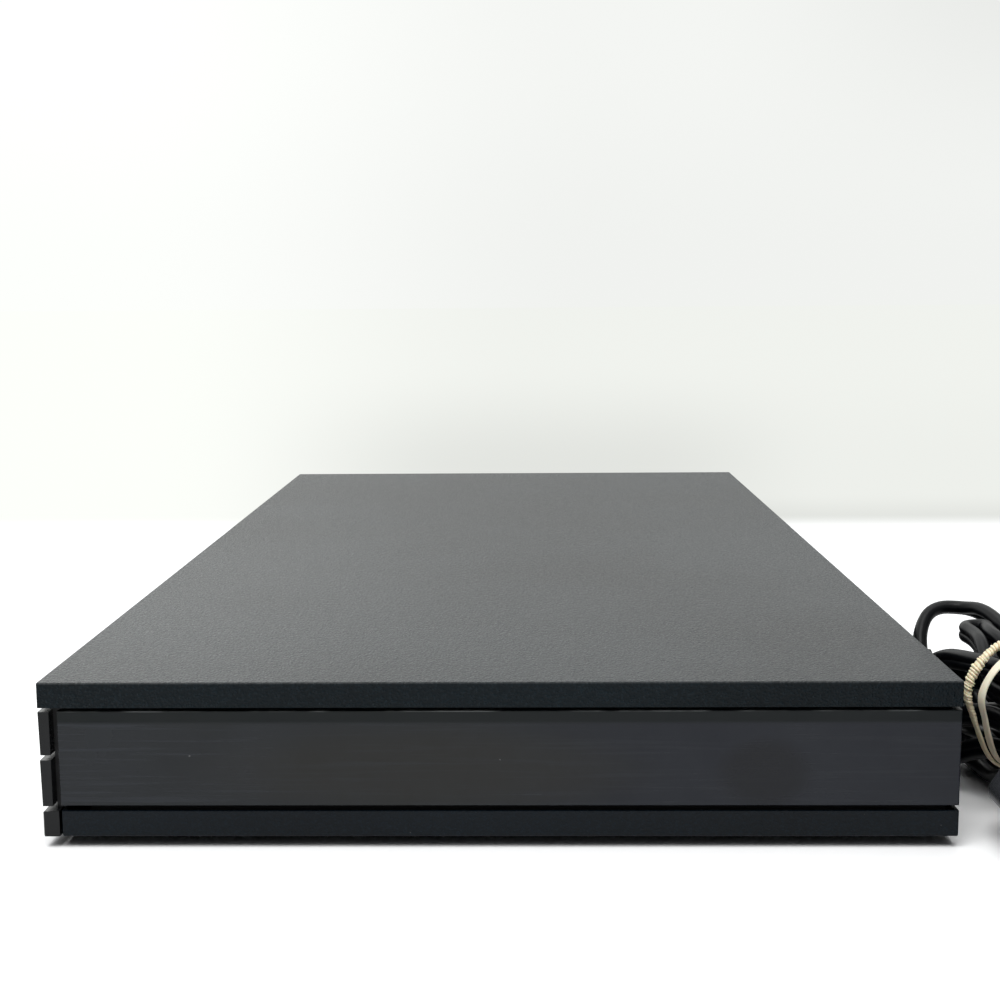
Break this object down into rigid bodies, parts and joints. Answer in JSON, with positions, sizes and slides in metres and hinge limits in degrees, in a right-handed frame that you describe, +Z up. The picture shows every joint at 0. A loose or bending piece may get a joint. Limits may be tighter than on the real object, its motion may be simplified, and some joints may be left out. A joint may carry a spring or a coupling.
{
  "type": "disc player",
  "caption": "Low wide disc player with a textured steel cover, slatted front, motorised disc tray, rear sockets and a mains lead tied in a hank behind it",
  "frame": {"origin": "centre of the underside of the player's body, on the surface it stands on; the lead, its hank and plug aren't counted", "axes": "+X to the right seen from the front, -Y to the front, +Z up"},
  "size_m": [0.4647, 0.297, 0.0487],
  "materials": {
    "cover_paint": "fine-grained black paint",
    "pan_paint": "fine-grained black paint",
    "inner_steel": "zinc-plated sheet",
    "panel_plastic": "smooth black",
    "slat_plastic": "smooth black",
    "carrier_plastic": "matte black",
    "window_smoke": "smoked, clear",
    "foot_rubber": "matte",
    "loader_plastic": "matte dark",
    "tray_plastic": "matte black",
    "gear_plastic": "natural white",
    "belt_rubber": "matte",
    "motor_steel": "plated",
    "rod_steel": "ground",
    "lens_glass": "clear, coated",
    "casting": "die cast",
    "board": "green laminate",
    "power_board": "tan laminate",
    "chip": "moulded",
    "heat_sink": "extruded",
    "capacitor": "sleeved",
    "transformer": "ferrite and tape",
    "shell_metal": "folded, plated",
    "jack_plastic": "moulded",
    "ribbon": "flat film",
    "harness": "insulated wire",
    "screw_black": "blackened",
    "screw_zinc": "zinc",
    "lead_rubber": "satin black",
    "plug_plastic": "satin black",
    "band_rubber": "cream, matte"
  },
  "bodies": {
    "housing": {"top_cover": "cover_paint", "base_pan": "pan_paint", "rear_panel": "pan_paint", "side_frame_left": "pan_paint", "side_frame_right": "pan_paint", "side_panel_left": "panel_plastic", "side_panel_right": "panel_plastic", "upper_slat_left": "slat_plastic", "upper_slat_right": "slat_plastic", "lower_slat_left": "slat_plastic", "lower_slat_right": "slat_plastic", "front_lip": "slat_plastic", "front_bezel": "carrier_plastic", "front_window": "window_smoke", "feet": "foot_rubber", "front_board": "board", "front_switches": "chip", "usb_port": "shell_metal", "loader_frame": "loader_plastic", "drive_belt": "belt_rubber", "loading_motor": "motor_steel", "clamp_bridge": "inner_steel", "main_board": "board", "power_board": "power_board", "processor": "chip", "heat_sink": "heat_sink", "capacitors": "capacitor", "transformer": "transformer", "power_cooler": "heat_sink", "hdmi_ports": "shell_metal", "lan_jack": "jack_plastic", "optical_jack": "jack_plastic", "drive_ribbon": "ribbon", "power_harness": "harness", "cover_screws": "screw_black", "case_screws": "screw_zinc", "strain_relief": "lead_rubber", "cord_lead": "lead_rubber", "cord_hank": "lead_rubber", "twisted_band": "band_rubber", "flat_band": "band_rubber", "power_plug": "plug_plastic"},
    "tray": {"disc_tray": "tray_plastic", "tray_lid": "slat_plastic"},
    "tray_gear": {"tray_gear": "gear_plastic"},
    "pulley_gear": {"pulley_gear": "gear_plastic"},
    "motor_pulley": {"motor_pulley": "gear_plastic"},
    "cam": {"cam_slider": "gear_plastic"},
    "traverse": {"traverse_frame": "loader_plastic", "guide_rods": "rod_steel", "spindle_motor": "motor_steel", "feed_motor": "motor_steel"},
    "turntable": {"turntable": "motor_steel"},
    "pickup": {"pickup": "casting", "pickup_lens": "lens_glass"},
    "feed_screw": {"feed_screw": "rod_steel"},
    "clamp_puck": {"clamp_puck": "jack_plastic"},
    "power_button": {"power_button": "slat_plastic"},
    "eject_button": {"eject_button": "slat_plastic"},
    "usb_door": {"usb_door": "slat_plastic"}
  },
  "joints": [
    {"name": "tray_slide", "type": "slide", "parent": "housing", "child": "tray", "axis": [0, -1, 0], "range_m": [0, 0.126]},
    {"name": "tray_gear_spin", "type": "hinge", "parent": "housing", "child": "tray_gear", "pos_m": [-0.035, -0.093, 0.0275], "axis": [0, 0, 1], "range_deg": [0, 490]},
    {"name": "pulley_gear_spin", "type": "hinge", "parent": "housing", "child": "pulley_gear", "pos_m": [-0.013, -0.093, 0.02], "axis": [0, 0, 1], "range_deg": [-1040, 0]},
    {"name": "motor_pulley_spin", "type": "hinge", "parent": "housing", "child": "motor_pulley", "pos_m": [0.023, -0.093, 0.0195], "axis": [0, 0, 1], "range_deg": [-3610, 0]},
    {"name": "traverse_lift", "type": "hinge", "parent": "housing", "child": "traverse", "pos_m": [0, 0.029, 0.01525], "axis": [1, 0, 0], "range_deg": [0, 2.28]},
    {"name": "cam_slide", "type": "slide", "parent": "housing", "child": "cam", "axis": [1, 0, 0], "range_m": [0, 0.0241]},
    {"name": "turntable_spin", "type": "hinge", "parent": "traverse", "child": "turntable", "pos_m": [0, -0.0465, 0.02], "axis": [0, 0, 1], "continuous": true},
    {"name": "puck_spin", "type": "hinge", "parent": "housing", "child": "clamp_puck", "pos_m": [0, -0.0465, 0.0375], "axis": [0, 0, 1], "continuous": true},
    {"name": "pickup_slide", "type": "slide", "parent": "traverse", "child": "pickup", "axis": [0, 1, 0], "range_m": [0, 0.033]},
    {"name": "feed_screw_spin", "type": "hinge", "parent": "traverse", "child": "feed_screw", "pos_m": [-0.031, 0, 0.0195], "axis": [0, 1, 0], "range_deg": [-3970, 0]},
    {"name": "power_button_press", "type": "slide", "parent": "housing", "child": "power_button", "axis": [0, 1, 0], "range_m": [0, 0.0006], "stiffness_N_per_m": 1500},
    {"name": "eject_button_press", "type": "slide", "parent": "housing", "child": "eject_button", "axis": [0, 1, 0], "range_m": [0, 0.0006], "stiffness_N_per_m": 1500},
    {"name": "usb_door_hinge", "type": "hinge", "parent": "housing", "child": "usb_door", "pos_m": [0.15, -0.1137, 0.01215], "axis": [1, 0, 0], "range_deg": [0, 95]}
  ],
  "couplings": [
    {"joint": "tray_gear_spin", "follows": "tray_slide", "rad_per_m": 66.667},
    {"joint": "pulley_gear_spin", "follows": "tray_slide", "rad_per_m": -142.86},
    {"joint": "motor_pulley_spin", "follows": "tray_slide", "rad_per_m": -500},
    {"joint": "cam_slide", "follows": "traverse_lift", "m_per_rad": 0.60404},
    {"joint": "feed_screw_spin", "follows": "pickup_slide", "rad_per_m": -2094.4}
  ]
}
